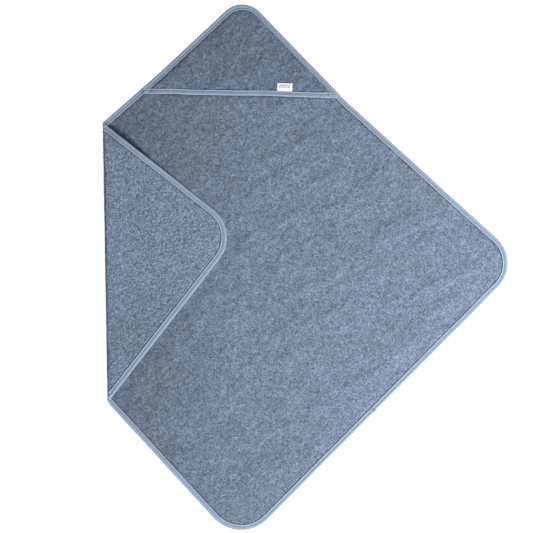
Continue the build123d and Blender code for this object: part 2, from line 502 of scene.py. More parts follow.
def stitchMesh(name, line, marks, across, heightsOf, pattern):
    # a row of separate stitches: short rounded strands that dip into the cloth at both ends
    inward = leftNormals(line)
    stitchPitch = pattern["length"] + pattern["gap"]
    starts = np.arange(0.5 * pattern["gap"], marks[-1] - pattern["length"], stitchPitch)
    rings, around = 5, 6
    share = np.linspace(0, 1, rings)
    girth = pattern["width"] / 2 * np.sqrt(np.clip(1 - (2 * share - 1) ** 4, 0.12, 1))
    sink = -pattern["sink"] * (2 * share - 1) ** 4
    angles = np.linspace(0, 2 * math.pi, around, endpoint=False)
    at = starts[:, None] + pattern["length"] * share[None, :]
    centre = np.stack([np.interp(at, marks, line[:, 0]), np.interp(at, marks, line[:, 1])], axis=2)
    side = np.stack([np.interp(at, marks, inward[:, 0]), np.interp(at, marks, inward[:, 1])], axis=2)
    centre = centre + side * across
    out = girth[None, :, None] * np.cos(angles)[None, None, :]
    flat = centre[:, :, None, :] + side[:, :, None, :] * out[..., None]
    fromMiddle = sink[None, :, None] + girth[None, :, None] * np.sin(angles)
    up = heightsOf(at)[:, :, None] + fromMiddle * pattern["facing"]
    points = np.concatenate([flat, up[..., None]], axis=3).reshape(-1, 3)
    number = np.arange(len(starts) * rings * around).reshape(len(starts), rings, around)
    first, second = number[:, :-1], number[:, 1:]
    order = [first, np.roll(first, -1, 2), np.roll(second, -1, 2), second]
    if pattern["facing"] > 0:
        order = order[::-1]
    quads = np.stack(order, axis=3).reshape(-1, 4)
    ends = [number[:, 0, :], number[:, -1, ::-1]]
    if pattern["facing"] < 0:
        ends = [end[:, ::-1] for end in ends]
    ends = [end[:, ::-1] for end in ends]
    place = np.stack([np.repeat(at.ravel(), around), np.tile(angles * 0.0003, at.size)], axis=1)
    return meshFrom(name, points, [quads, *ends], place)


def joined(name, *meshes):
    # several meshes as one
    shape = bmesh.new()
    for mesh in meshes:
        shape.from_mesh(mesh)
    whole = bpy.data.meshes.new(name)
    shape.to_mesh(whole)
    shape.free()
    return whole


def newGroup(name, inputs, outputs):
    group = bpy.data.node_groups.new(name, "ShaderNodeTree")
    for socketName, kind, value in inputs:
        socket = group.interface.new_socket(name=socketName, in_out="INPUT", socket_type=kind)
        if value is not None:
            socket.default_value = value
    for socketName, kind in outputs:
        group.interface.new_socket(name=socketName, in_out="OUTPUT", socket_type=kind)
    return group, group.nodes.new("NodeGroupInput").outputs, group.nodes.new("NodeGroupOutput").inputs


def place(tree, kind, inputs=(), **settings):
    # adds a node; each input is a socket name or number with a value or another node's socket
    node = tree.nodes.new(kind)
    for setting, value in settings.items():
        setattr(node, setting, value)
    for socket, value in dict(inputs).items():
        if isinstance(value, bpy.types.NodeSocket):
            tree.links.new(value, node.inputs[socket])
        else:
            node.inputs[socket].default_value = value
    return node


def remapped(tree, value, low, high, atLow, atHigh):
    # a number carried from one range to another
    return place(tree, "ShaderNodeMapRange", {0: value, 1: low, 2: high, 3: atLow, 4: atHigh}).outputs[0]


def sums(tree, operation, first, second):
    return place(tree, "ShaderNodeMath", {0: first, 1: second}, operation=operation).outputs[0]


def makeCottonShade():
    # uneven dye and lie of the pile, as a number about 1 to multiply a colour by
    group, given, result = newGroup(
        "cottonShade",
        [("Place", "NodeSocketVector", None), ("Patch Size", "NodeSocketFloat", 0.02),
         ("Strength", "NodeSocketFloat", 0.05), ("Detail", "NodeSocketFloat", 3.0)],
        [("Shade", "NodeSocketFloat")],
    )
    scale = sums(group, "DIVIDE", 1.0, given["Patch Size"])
    noise = place(group, "ShaderNodeTexNoise",
                  {"Vector": given["Place"], "Scale": scale, "Detail": given["Detail"],
                                                "Roughness": 0.65, "Distortion": 0.25})
    centred = sums(group, "SUBTRACT", noise.outputs[0], 0.5)
    swing = sums(group, "MULTIPLY", centred, 4.0)
    group.links.new(sums(group, "MULTIPLY_ADD", swing, given["Strength"]), result["Shade"])
    result["Shade"].links[0].from_node.inputs[2].default_value = 1.0
    return group


def makeTerryLoops():
    # small round loops, partly drawn up into rows
    group, given, result = newGroup(
        "terryLoops",
        [("Place", "NodeSocketVector", None), ("Loop Size", "NodeSocketFloat", 0.0014),
         ("Row Turn", "NodeSocketFloat", 0.7), ("Row Share", "NodeSocketFloat", 0.3)],
        [("Height", "NodeSocketFloat"), ("Hollows", "NodeSocketFloat"), ("Tone", "NodeSocketFloat")],
    )
    turn = place(group, "ShaderNodeVectorRotate", {"Vector": given["Place"], "Angle": given["Row Turn"]},
                 rotation_type="Z_AXIS")
    scale = sums(group, "DIVIDE", 1.0, given["Loop Size"])
    loops = place(group, "ShaderNodeTexVoronoi", {"Vector": turn.outputs[0], "Scale": scale}, feature="F1")
    crown = sums(group, "SUBTRACT", 1.0, loops.outputs["Distance"])
    apart = place(group, "ShaderNodeSeparateXYZ", {"Vector": turn.outputs[0]})
    phase = sums(group, "MULTIPLY", sums(group, "MULTIPLY", apart.outputs["Y"], scale), math.pi)
    rows = place(group, "ShaderNodeMath", {0: phase}, operation="SINE").outputs[0]
    rows = sums(group, "MULTIPLY_ADD", rows, 0.5)
    rows.node.inputs[2].default_value = 0.5
    height = place(group, "ShaderNodeMix", {0: given["Row Share"], 2: crown, 3: rows}).outputs[0]
    group.links.new(height, result["Height"])
    hollows = place(group, "ShaderNodeMapRange", {0: height, 1: 0.25, 2: 0.62, 3: 1.0, 4: 0.0})
    group.links.new(hollows.outputs[0], result["Hollows"])
    tone = place(group, "ShaderNodeSeparateColor", {0: loops.outputs["Color"]})  # one number for each loop
    group.links.new(tone.outputs[0], result["Tone"])
    return group


def makeFineWeave():
    # over and under threads of a plain weave
    group, given, result = newGroup(
        "fineWeave",
        [("Place", "NodeSocketVector", None), ("Thread Size", "NodeSocketFloat", 0.0004)],
        [("Height", "NodeSocketFloat")],
    )
    rate = sums(group, "DIVIDE", math.pi, given["Thread Size"])
    apart = place(group, "ShaderNodeSeparateXYZ", {"Vector": given["Place"]})
    waves = []
    for axis in ("X", "Y"):
        angle = sums(group, "MULTIPLY", apart.outputs[axis], rate)
        waves.append(place(group, "ShaderNodeMath", {0: angle}, operation="SINE").outputs[0])
    product = sums(group, "MULTIPLY", waves[0], waves[1])
    height = place(group, "ShaderNodeMapRange", {0: product, 1: -1.0, 2: 1.0, 3: 0.0, 4: 1.0})
    group.links.new(height.outputs[0], result["Height"])
    return group


print("finishes: making the shared node groups")
cottonShade = makeCottonShade()
terryLoops = makeTerryLoops()
fineWeave = makeFineWeave()


def newMaterial(name):
    material = bpy.data.materials.new(name)
    material.use_nodes = True
    tree = material.node_tree
    cloth = place(tree, "ShaderNodeAttribute", attribute_name="clothPlace").outputs["Vector"]
    return material, tree, tree.nodes["Principled BSDF"], cloth


def placeGroup(tree, group, **values):
    node = tree.nodes.new("ShaderNodeGroup")
    node.node_tree = group
    for name, value in values.items():
        socket = node.inputs[name.replace("_", " ")]
        if isinstance(value, bpy.types.NodeSocket):
            tree.links.new(value, socket)
        else:
            socket.default_value = value
    return node.outputs


def shaded(tree, colour, shade):
    # a colour multiplied by a number about 1
    return place(tree, "ShaderNodeVectorMath", {0: colour, "Scale": shade}, operation="SCALE").outputs[0]


terryFinish = {
    "bodyTerry": {"colour": (0.250, 0.322, 0.448), "loop": 0.0022, "turn": 0.70, "rows": 0.10, "patch": 0.05,
                  "cloud": 0.13, "mottle": 0.17, "fleck": 0.28, "heather": 0.36, "bump": 0.55, "lean": 0.80,
                  "lay": 0.6, "stretch": 1.3},
    "cornerTerry": {"colour": (0.278, 0.360, 0.494), "loop": 0.0020, "turn": -0.75, "rows": 0.30,
                    "patch": 0.05,
                    "cloud": 0.03, "mottle": 0.07, "fleck": 0.34, "heather": 0.48, "bump": 0.5, "lean": 0.82,
                    "lay": 0.80, "stretch": 2.2},
    # the hood's terry is the body's terry coloured darker: painted shade for the dimmer light over the hood
    "hoodTerry": {"colour": (0.212, 0.277, 0.392), "loop": 0.0022, "turn": 0.70, "rows": 0.10, "patch": 0.05,
                  "cloud": 0.12, "mottle": 0.20, "fleck": 0.28, "heather": 0.34, "bump": 0.55, "lean": 1.0,
                  "lay": 0.85, "stretch": 1.8},
}


def makeTerry(name):
    finish = terryFinish[name]
    material, tree, shader, cloth = newMaterial(name)
    loops = placeGroup(tree, terryLoops, Place=cloth, Loop_Size=finish["loop"], Row_Turn=finish["turn"],
                       Row_Share=finish["rows"])
    cloud = placeGroup(tree, cottonShade, Place=cloth, Patch_Size=finish["patch"], Strength=finish["cloud"])
    # the pile lies in slanting streaks
    turn = place(tree, "ShaderNodeVectorRotate", {"Vector": cloth, "Angle": finish["lay"]},
                 rotation_type="Z_AXIS",
                 invert=True).outputs[0]
    laid = place(tree, "ShaderNodeVectorMath", {0: turn, 1: (1 / finish["stretch"], 1.0, 1.0)},
                 operation="MULTIPLY").outputs[0]
    mottle = placeGroup(tree, cottonShade, Place=laid, Patch_Size=0.013, Strength=finish["mottle"])
    fleck = placeGroup(tree, cottonShade, Place=laid, Patch_Size=0.0034, Strength=finish["fleck"],
                       Detail=2.0)
    # painted shade for the light falling off, darkening the colour where that mark is set
    leaning = place(tree, "ShaderNodeAttribute", attribute_name="lean").outputs["Fac"]
    away = remapped(tree, leaning, 0.0, 1.0, 1.0, finish["lean"])
    # painted shade and painted shadow laid on the pile, set point by point on the mesh
    pressed = place(tree, "ShaderNodeAttribute", attribute_name="pressed").outputs["Fac"]
    shadow = remapped(tree, pressed, 0.0, 1.0, 1.0, 0.35)
    shade = sums(tree, "MULTIPLY", cloud["Shade"], mottle["Shade"])
    shade = sums(tree, "MULTIPLY", shade, fleck["Shade"])
    shade = sums(tree, "MULTIPLY", shade, shadow)
    shade = sums(tree, "MULTIPLY", shade, away)
    heather = remapped(tree, loops["Tone"], 0.0, 1.0, 1 - finish["heather"], 1 + finish["heather"])
    shade = sums(tree, "MULTIPLY", shade, heather)
    # painted shade in the hollows between the loops, and a slight painted highlight on their crowns
    hollowShade = remapped(tree, loops["Hollows"], 0.0, 1.0, 1.06, 0.80)
    shade = sums(tree, "MULTIPLY", shade, hollowShade)
    colour = place(tree, "ShaderNodeRGB").outputs[0]
    colour.default_value = (*finish["colour"], 1)
    tree.links.new(shaded(tree, colour, shade), shader.inputs["Base Color"])
    rough = remapped(tree, loops["Hollows"], 0.0, 1.0, 0.88, 1.0)
    tree.links.new(rough, shader.inputs["Roughness"])
    bump = place(tree, "ShaderNodeBump", {"Height": loops["Height"], "Strength": finish["bump"],
                                          "Distance": 0.0008})
    tree.links.new(bump.outputs[0], shader.inputs["Normal"])
    shader.inputs["Specular IOR Level"].default_value = 0.15
    shader.inputs["Sheen Weight"].default_value = 0.12
    shader.inputs["Sheen Roughness"].default_value = 0.6
    return material


# ridge and groove are the colour levels of the tape's painted highlight and painted shade; hoodBand is its
# even level over the hood
tapeFinish = {
    "colour": (0.352, 0.445, 0.592),
    "ridge": 1.45,
    "groove": 0.92,
    "hoodBand": 1.12,
    "thread": 0.00042,
    "rib": 0.0011,
}


def makeTape():
    material, tree, shader, cloth = newMaterial("boundTape")
    weave = placeGroup(tree, fineWeave, Place=cloth, Thread_Size=tapeFinish["thread"])
    cloud = placeGroup(tree, cottonShade, Place=cloth, Patch_Size=0.03, Strength=0.035)
    fleck = placeGroup(tree, cottonShade, Place=cloth, Patch_Size=0.003, Strength=0.06)
    across = place(tree, "ShaderNodeSeparateXYZ", {"Vector": cloth}).outputs["Y"]
    # painted highlights on the tape's outer part and on its inner ridge, and painted shade in the groove
    # between, as colour levels across the tape; the tape over the hood gets one even level
    band = place(tree, "ShaderNodeFloatCurve", {"Factor": 1.0})
    share = sums(tree, "DIVIDE", across, tapeCut["width"])
    tree.links.new(share, band.inputs["Value"])
    curve = band.mapping.curves[0]
    curve.points[0].location = (0.0, 0.56)
    curve.points[1].location = (1.0, 0.40)
    shadeLevels = [(0.14, 0.54), (0.40, 0.46), (0.60, 0.38), (0.69, 0.35), (0.77, 0.52), (0.86, 0.66),
                   (0.94, 0.60)]
    for at, level in shadeLevels:
        curve.points.new(at, level)
    band.mapping.update()
    light = remapped(tree, band.outputs[0], 0.35, 0.65, tapeFinish["groove"], tapeFinish["ridge"])
    even = place(tree, "ShaderNodeAttribute", attribute_name="evenBand").outputs["Fac"]
    light = place(tree, "ShaderNodeMix", {0: even, 2: light, 3: tapeFinish["hoodBand"]}).outputs[0]
    # painted shade where the tape's end crosses over its start
    pressed = place(tree, "ShaderNodeAttribute", attribute_name="pressed").outputs["Fac"]
    creaseShade = remapped(tree, pressed, 0.0, 1.0, 1.0, 0.45)
    light = sums(tree, "MULTIPLY", light, creaseShade)
    ribScale = place(tree, "ShaderNodeVectorMath", {0: cloth, 1: (1 / tapeFinish["rib"], 90.0, 0.0)},
                     operation="MULTIPLY").outputs[0]
    ribs = place(tree, "ShaderNodeTexNoise", {"Vector": ribScale, "Scale": 1.0, "Detail": 1.0}).outputs[0]
    shade = sums(tree, "MULTIPLY", cloud["Shade"], fleck["Shade"])
    shade = sums(tree, "MULTIPLY", shade, light)
    colour = place(tree, "ShaderNodeRGB").outputs[0]
    colour.default_value = (*tapeFinish["colour"], 1)
    tree.links.new(shaded(tree, colour, shade), shader.inputs["Base Color"])
    rough = remapped(tree, weave["Height"], 0.0, 1.0, 0.85, 0.70)
    tree.links.new(rough, shader.inputs["Roughness"])
    fine = place(tree, "ShaderNodeBump", {"Height": weave["Height"], "Strength": 0.35, "Distance": 0.00012})
    bump = place(tree, "ShaderNodeBump", {"Height": ribs, "Strength": 0.4, "Distance": 0.0007,
                                          "Normal": fine.outputs[0]})
    tree.links.new(bump.outputs[0], shader.inputs["Normal"])
    shader.inputs["Specular IOR Level"].default_value = 0.2
    shader.inputs["Sheen Weight"].default_value = 0.08
    shader.inputs["Sheen Roughness"].default_value = 0.5
    return material


threadFinish = {"colour": (0.33, 0.41, 0.53), "twist": 0.0005}


def makeThread():
    material, tree, shader, cloth = newMaterial("sewingThread")
    twist = placeGroup(tree, fineWeave, Place=cloth, Thread_Size=threadFinish["twist"])
    shade = placeGroup(tree, cottonShade, Place=cloth, Patch_Size=0.01, Strength=0.08)
    colour = place(tree, "ShaderNodeRGB").outputs[0]
    colour.default_value = (*threadFinish["colour"], 1)
    tree.links.new(shaded(tree, colour, shade["Shade"]), shader.inputs["Base Color"])
    rough = remapped(tree, twist["Height"], 0.0, 1.0, 0.7, 0.5)
    tree.links.new(rough, shader.inputs["Roughness"])
    bump = place(tree, "ShaderNodeBump", {"Height": twist["Height"], "Strength": 0.4, "Distance": 0.00015})
    tree.links.new(bump.outputs[0], shader.inputs["Normal"])
    shader.inputs["Sheen Weight"].default_value = 0.1
    return material


labelFinish = {"colour": (0.86, 0.88, 0.93), "motif": (0.07, 0.10, 0.19), "thread": 0.00035, "paintedGlow": 0.42}


def makeLabelSatin():
    # white ribbon with a plain wavy line and a row of dots woven in, and no lettering
    material, tree, shader, cloth = newMaterial("labelSatin")
    weave = placeGroup(tree, fineWeave, Place=cloth, Thread_Size=labelFinish["thread"])
    shade = placeGroup(tree, cottonShade, Place=cloth, Patch_Size=0.012, Strength=0.02)
    apart = place(tree, "ShaderNodeSeparateXYZ", {"Vector": cloth})
    x, y = apart.outputs["X"], apart.outputs["Y"]
    wavePhase = sums(tree, "MULTIPLY", x, 2 * math.pi / 0.0046)
    wave = place(tree, "ShaderNodeMath", {0: wavePhase}, operation="SINE")
    wave = sums(tree, "MULTIPLY", wave.outputs[0], 0.0017)
    aboveWave = sums(tree, "SUBTRACT", sums(tree, "SUBTRACT", y, 0.0105), wave)
    fromWave = place(tree, "ShaderNodeMath", {0: aboveWave},
                     operation="ABSOLUTE").outputs[0]
    line = remapped(tree, fromWave, 0.0008, 0.0011, 1.0, 0.0)
    cell = sums(tree, "SUBTRACT", sums(tree, "PINGPONG", x, 0.0023), 0.0011)
    row = sums(tree, "SUBTRACT", y, 0.0068)
    inCell = place(tree, "ShaderNodeCombineXYZ", {0: cell, 1: row}).outputs[0]
    dotAway = place(tree, "ShaderNodeVectorMath", {0: inCell},
                    operation="LENGTH").outputs["Value"]
    dots = remapped(tree, dotAway, 0.0006, 0.0009, 0.8, 0.0)
    inset = place(tree, "ShaderNodeMath", {0: x}, operation="ABSOLUTE").outputs[0]
    span = remapped(tree, inset, 0.0112, 0.0116, 1.0, 0.0)
    motif = sums(tree, "MULTIPLY", sums(tree, "MAXIMUM", line, dots), span)
    white = place(tree, "ShaderNodeRGB").outputs[0]
    white.default_value = (*labelFinish["colour"], 1)
    colour = place(tree, "ShaderNodeMix", {0: motif, 6: shaded(tree, white, shade["Shade"]),
                                           7: (*labelFinish["motif"], 1)}, data_type="RGBA").outputs[2]
    tree.links.new(colour, shader.inputs["Base Color"])
    rough = remapped(tree, weave["Height"], 0.0, 1.0, 0.55, 0.38)
    tree.links.new(rough, shader.inputs["Roughness"])
    bump = place(tree, "ShaderNodeBump", {"Height": weave["Height"], "Strength": 0.3, "Distance": 0.0001})
    tree.links.new(bump.outputs[0], shader.inputs["Normal"])
    # the label glows a little: painted light that makes the white ribbon brighter than the lamps light it
    tree.links.new(colour, shader.inputs["Emission Color"])
    shader.inputs["Emission Strength"].default_value = labelFinish["paintedGlow"]
    shader.inputs["Sheen Weight"].default_value = 0.05
    return material


bodyTerryFinish = makeTerry("bodyTerry")
cornerTerryFinish = makeTerry("cornerTerry")
hoodTerryFinish = makeTerry("hoodTerry")
tapeFinishMade = makeTape()
threadFinishMade = makeThread()
labelFinishMade = makeLabelSatin()


def finished(mesh, material, slotName, *nodes):
    piece = pieceFrom(mesh, material)
    if nodes:
        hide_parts(*nodes)
    return piece


def wobbled(line, marks, amount, seed):
    # sewn edges wander a little from the straight line
    drift = softNoise(np.stack([marks, np.zeros(len(marks))], axis=1), 0.07, seed) * amount
    return line + leftNormals(line) * drift[:, None]


def foldCut(mesh):
    return cutMesh(mesh, foldAxis, -foldRight)


def openTowelLine():
    # the bound edge from below the fold, round the right side, to above the fold
    line, marks = evenLine(np.concatenate([towelLine, towelLine[:1]]), tapeCut["step"])
    line = line[:-1]
    kept = rightOfFold(line) > -0.030
    start = np.flatnonzero(kept & ~np.roll(kept, 1))[0]
    line = np.roll(line, -start, 0)[:kept.sum()]
    marks = np.arange(len(line)) * marks[1]
    return wobbled(line, marks, 0.0003, 61), marks


def hoodShare(points):
    # 1 where the binding also holds the hood, 0 beside the body alone
    return ease(aboveHem(points), -0.004, 0.010)


stitchLook = {"length": 0.0026, "gap": 0.0007, "width": 0.00055, "sink": 0.00035, "facing": 1}


def makeEdge():
    line, marks = openTowelLine()
    share = hoodShare(line)
    thick = bodyThick + (hoodTapeTop - bodyThick) * share
    tape = sweepMesh("edgeTape", line, marks, thick / 2, thick / 0.00305, tapeSection(), pucker=0.00010,
                     evenBand=share)
    tape = foldCut(foldCut(tape))
    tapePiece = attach(finished(tape, tapeFinishMade, "tape", "edge_binding"), "towel_body")
    gap = 0.0003 * thick / 0.003
    upper = stitchMesh("upperRow", line, marks, tapeCut["stitchIn"],
                       lambda at: np.interp(at, marks, thick - gap), stitchLook)
    lower = stitchMesh("lowerRow", line, marks, tapeCut["stitchIn"],
                       lambda at: np.interp(at, marks, gap), {**stitchLook, "facing": -1})
    thread = dropBeyondFold(joined("edgeStitches", upper, lower))
    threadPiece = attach(finished(thread, threadFinishMade, "thread", "edge_topstitch"), "towel_body")
    return [tapePiece, threadPiece]


def dropBeyondFold(mesh):
    # leaves out whole stitches that start past the fold
    shape = bmesh.new()
    shape.from_mesh(mesh)
    gone = [v for v in shape.verts
            if (v.co.x - foldAxis[0]) * foldRight[0] + (v.co.y - foldAxis[1]) * foldRight[1] < 0]
    linked = set(gone)
    while gone:
        vertex = gone.pop()
        for edge in vertex.link_edges:
            other = edge.other_vert(vertex)
            if other not in linked:
                linked.add(other)
                gone.append(other)
    bmesh.ops.delete(shape, geom=list(linked), context="VERTS")
    shape.to_mesh(mesh)
    shape.free()
    return mesh


def makeBody():
    def depthOf(points):
        return np.where(rightOfFold(points) > -0.008, insideDepth(points, towelLine), -1)
    region = towelLine[rightOfFold(towelLine) > -0.2]
    mesh = terryMesh("bodyTerryPanel", region, depthOf, bodyTop, bodyBottom, bodyPaintedShade, bodyPaintedFalloff, 45,
                     terryCut["pitch"])
    mesh = foldCut(mesh)
    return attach(finished(mesh, bodyTerryFinish, "terry", "body_panel"), "towel_body")


def makeCorner():
    def depthOf(points):
        return np.where(rightOfFold(points) > -0.006, cornerDepth(points), -1)
    # painted shade along the folded corner's bound edge
    mesh = terryMesh("cornerTerryPanel", cornerLine, depthOf, cornerTop, cornerBottom,
                     lambda points: seamShade(cornerDepth(points)), cornerPaintedFalloff, 45, terryCut["cornerPitch"])
    mesh = foldCut(mesh)
    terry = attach(finished(mesh, cornerTerryFinish, "terry_reverse", "corner_panel"), "corner_flap")
    line, marks = evenLine(cornerLine, tapeCut["step"])
    kept = rightOfFold(line) > -0.030
    line = line[kept]
    marks = np.arange(len(line)) * marks[1]
    line = wobbled(line, marks, 0.0003, 62)
    middles = (cornerFrame[0].z + cornerFrame[1].z) / 2 + cornerRise(line + leftNormals(line) * 0.006)
    thick = np.full(len(line), 1.0)
    tape = foldCut(sweepMesh("cornerTape", line, marks, middles, thick, tapeSection(), pucker=0.00010))
    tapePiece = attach(finished(tape, tapeFinishMade, "tape", "corner_binding"), "corner_flap")
    upper = stitchMesh("upperRow", line, marks, tapeCut["stitchIn"],
                       lambda at: np.interp(at, marks, middles + 0.00122), stitchLook)
    lower = stitchMesh("lowerRow", line, marks, tapeCut["stitchIn"],
                       lambda at: np.interp(at, marks, middles - 0.00122), {**stitchLook, "facing": -1})
    thread = dropBeyondFold(joined("cornerStitches", upper, lower))
    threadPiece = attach(finished(thread, threadFinishMade, "thread", "corner_topstitch"), "corner_flap")
    return terry, [tapePiece, threadPiece]


def crossingsOf(line):
    # where a line crosses the fold's axis, and how steeply, from below upwards
    side = rightOfFold(line)
    found = []
    for index in np.flatnonzero(side[:-1] * side[1:] < 0):
        share = side[index] / (side[index] - side[index + 1])
        spot = line[index] + share * (line[index + 1] - line[index])
        run = line[index + 1] - line[index]
        slant = abs(run @ foldRight) / np.linalg.norm(run)
        found.append((float(alongFold(spot)), float(slant)))
    return sorted(found)


def foldPoints(along, radius, angle):
    # points round the fold: angle 0 is under the axis, half a turn is above it
    flat = foldAxis + along[..., None] * foldAlong - (radius * np.sin(angle))[..., None] * foldRight
    return np.concatenate([flat, (foldHeight - radius * np.cos(angle))[..., None]], axis=-1)


def makeFold():
    # the cloth and the tape where they bend round the fold
    turns = np.linspace(0, math.pi, 13)
    bodyEnds = crossingsOf(openTowelLine()[0])
    cornerEndsNow = crossingsOf(evenLine(cornerLine, tapeCut["step"])[0])
    section = tapeSection()
    tapes = []
    for name, low, high, facing in [("foldTapeLower", bodyEnds[0], cornerEndsNow[0], 1),
                                    ("foldTapeUpper", bodyEnds[1], cornerEndsNow[1], -1)]:
        around = len(section)
        share = (turns / math.pi)[:, None]
        start = low[0] + facing * section[None, :, 0] / low[1]
        end = high[0] + facing * section[None, :, 0] / high[1]
        along = start + (end - start) * share
        radius = np.broadcast_to(foldHeight - bodyThick / 2 - section[None, :, 1], along.shape)
        points = foldPoints(along, radius, np.broadcast_to(turns[:, None], along.shape)).reshape(-1, 3)
        ringIndex = np.arange(len(turns) * around).reshape(len(turns), around)
        first, second = ringIndex[:-1], ringIndex[1:]
        order = [first, np.roll(first, -1, 1), np.roll(second, -1, 1), second]
        if facing < 0:
            order = order[::-1]
        quads = np.stack(order, axis=2).reshape(-1, 4)
        caps = [ringIndex[:1], ringIndex[-1:, ::-1]] if facing < 0 else [ringIndex[:1, ::-1], ringIndex[-1:]]
        flat = np.stack([np.repeat(turns * foldHeight, around), np.tile(section[:, 0], len(turns))], axis=1)
        mesh = meshFrom(name, points, [quads, *caps], flat)
        piece = finished(mesh, tapeFinishMade, "tape")
        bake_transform(piece)
        tapes.append(piece)

    inset = terryCut["edgeDepth"]
    low = bodyEnds[0][0] + inset / bodyEnds[0][1]
    high = bodyEnds[1][0] - inset / bodyEnds[1][1]
    count = round((high - low) / 0.0025)
    rows = np.linspace(low, high, count + 1)
    grid = np.broadcast_to(rows[:, None], (count + 1, len(turns)))
    angle = np.broadcast_to(turns[None, :], grid.shape)
    fromTape = np.minimum((grid - bodyEnds[0][0]) * bodyEnds[0][1], (bodyEnds[1][0] - grid) * bodyEnds[1][1])
    free = ease(fromTape, held["from"], held["to"])
    spread = np.stack([grid.ravel(), angle.ravel() * foldHeight], axis=1)
    loops = 0.4 * pile(spread, 71).reshape(grid.shape) * np.sin(angle) ** 0.5 - 0.0003 * np.sin(angle)
    outer = foldHeight - held["tongueLow"] * (1 - free) + loops * free
    inner = foldHeight - bodyThick + held["tongueLow"] * (1 - free)
    pointsOut = foldPoints(grid, outer, angle).reshape(-1, 3)
    pointsIn = foldPoints(grid, inner, angle).reshape(-1, 3)
    number = np.arange(grid.size).reshape(grid.shape)
    other = number + grid.size
    outside = np.stack([number[:-1, :-1], number[:-1, 1:], number[1:, 1:], number[1:, :-1]],
                       axis=2).reshape(-1, 4)
    inside = np.stack([other[:-1, :-1], other[1:, :-1], other[1:, 1:], other[:-1, 1:]],
                      axis=2).reshape(-1, 4)
    rims = []
    for edgeOut, edgeIn, flip in [(number[0], other[0], True), (number[-1], other[-1], False),
                                  (number[:, 0], other[:, 0], False), (number[:, -1], other[:, -1], True)]:
        rim = np.stack([edgeOut[:-1], edgeOut[1:], edgeIn[1:], edgeIn[:-1]], axis=1)
        rims.append(rim[:, ::-1] if flip else rim)
    flat = np.concatenate([spread, spread])
    # painted shade for the light falling off, at full strength all round the fold
    lean = np.ones(len(flat))
    mesh = meshFrom("foldTerry", np.concatenate([pointsOut, pointsIn]), [outside, inside, *rims], flat,
                    lean=lean)
    terry = finished(mesh, bodyTerryFinish, "terry")
    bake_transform(terry)
    return terry, tapes


hoodLook = {"bendReach": 0.064, "hemWave": 0.0003,
            "hemRises": [(0.050, 0.045, 0.0014), (-0.137, 0.022, 0.0012)]}


def hoodBlend(piece):
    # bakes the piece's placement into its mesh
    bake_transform(piece)
    return piece


def hoodSplit():
    # the line that is as far from the hood's left sewn side as from its right one
    tip = np.array(towelCut["tip"][:2])
    runs = [np.array(towelCut[side][:2]) - tip for side in ("leftBend", "rightBend")]
    middle = sum(run / np.linalg.norm(run) for run in runs)
    middle /= np.linalg.norm(middle)
    return tip, np.array([-middle[1], middle[0]])


def halves(mesh, name):
    tip, toRight = hoodSplit()
    left = cutMesh(renamed(mesh, name + "Left"), tip, toRight)
    right = cutMesh(renamed(mesh, name + "Right"), tip, -toRight)
    return left, right


def renamed(mesh, name):
    copy = mesh.copy()
    copy.name = name
    return copy


def hemLine():
    # the hem's lower edge from left to right, drawn up a little by the label and on the left
    reach = 0.215
    count = round(2 * reach / tapeCut["step"])
    along = np.linspace(-reach, reach, count + 1)
    wave = hoodLook["hemWave"] * softNoise(np.stack([along, along * 0], axis=1), 0.05, 81)
    for middle, reachOut, rise in hoodLook["hemRises"]:
        wave = wave + rise * np.exp(-((along - middle) / reachOut) ** 2)
    line = hemCentre + along[:, None] * hemAlong + (wave - hemHalf)[:, None] * hemUp
    return line, along + reach


def makeHood():
    region = openTowelLine()[0]
    region = region[aboveHem(region) > -0.02]
    # painted shade along the hood's bound edges, at a fifth of full strength
    mesh = terryMesh("hoodTerryPanel", region, hoodDepth, hoodTopHeight, hoodBottomHeight,
                     lambda points: 0.2 * seamShade(hoodDepth(points)), noPaintedFalloff, 45, terryCut["hoodPitch"])
    left, right = halves(mesh, "hoodTerry")
    leftPiece = hoodBlend(finished(left, hoodTerryFinish, "hood_terry", "hood_panel", "hood_sewn_edge"))
    rightPiece = hoodBlend(finished(right, hoodTerryFinish, "hood_terry", "hood_panel"))
    line, marks = hemLine()
    depth = insideDepth(line + hemUp * hemHalf, towelLine)
    kept = depth > 0.0045
    line, marks, depth = line[kept], marks[kept], depth[kept]
    free = ease(depth, 0.012, 0.030)
    low, high = 0.0027 + (hoodLow - 0.0027) * free, 0.0048 + (hoodTop + 0.0003 - 0.0048) * free
    ripple = 0.0004 * (1 + softNoise(np.stack([marks, marks * 0], axis=1), 0.028, 82)) * free
    scale = (high - low) / 0.00305
    section = tapeSection() * [1.08 / 1.1, 1]
    tape = sweepMesh("hemTape", line, marks, (low + high) / 2 + ripple, scale, section, pucker=0.00014)
    tapeLeft, tapeRight = halves(tape, "hemTape")
    tapes = [hoodBlend(finished(tapeLeft, tapeFinishMade, "tape", "hood_binding")),
             hoodBlend(finished(tapeRight, tapeFinishMade, "tape", "hood_binding"))]
    upper = stitchMesh("upperRow", line, marks, 0.0077,
                       lambda at: np.interp(at, marks, high + ripple - 0.0003), stitchLook)
    lower = stitchMesh("lowerRow", line, marks, 0.0077,
                       lambda at: np.interp(at, marks, low + ripple + 0.0003),
                       {**stitchLook, "facing": -1})
    threadLeft, threadRight = halves(joined("hemStitches", upper, lower), "hemStitches")
    threads = [hoodBlend(finished(threadLeft, threadFinishMade, "thread", "hood_topstitch")),
               hoodBlend(finished(threadRight, threadFinishMade, "thread", "hood_topstitch"))]
    return leftPiece, rightPiece, tapes, threads


labelLook = {"width": 0.031, "length": 0.0160, "ply": 0.0003, "bow": 0.0004}


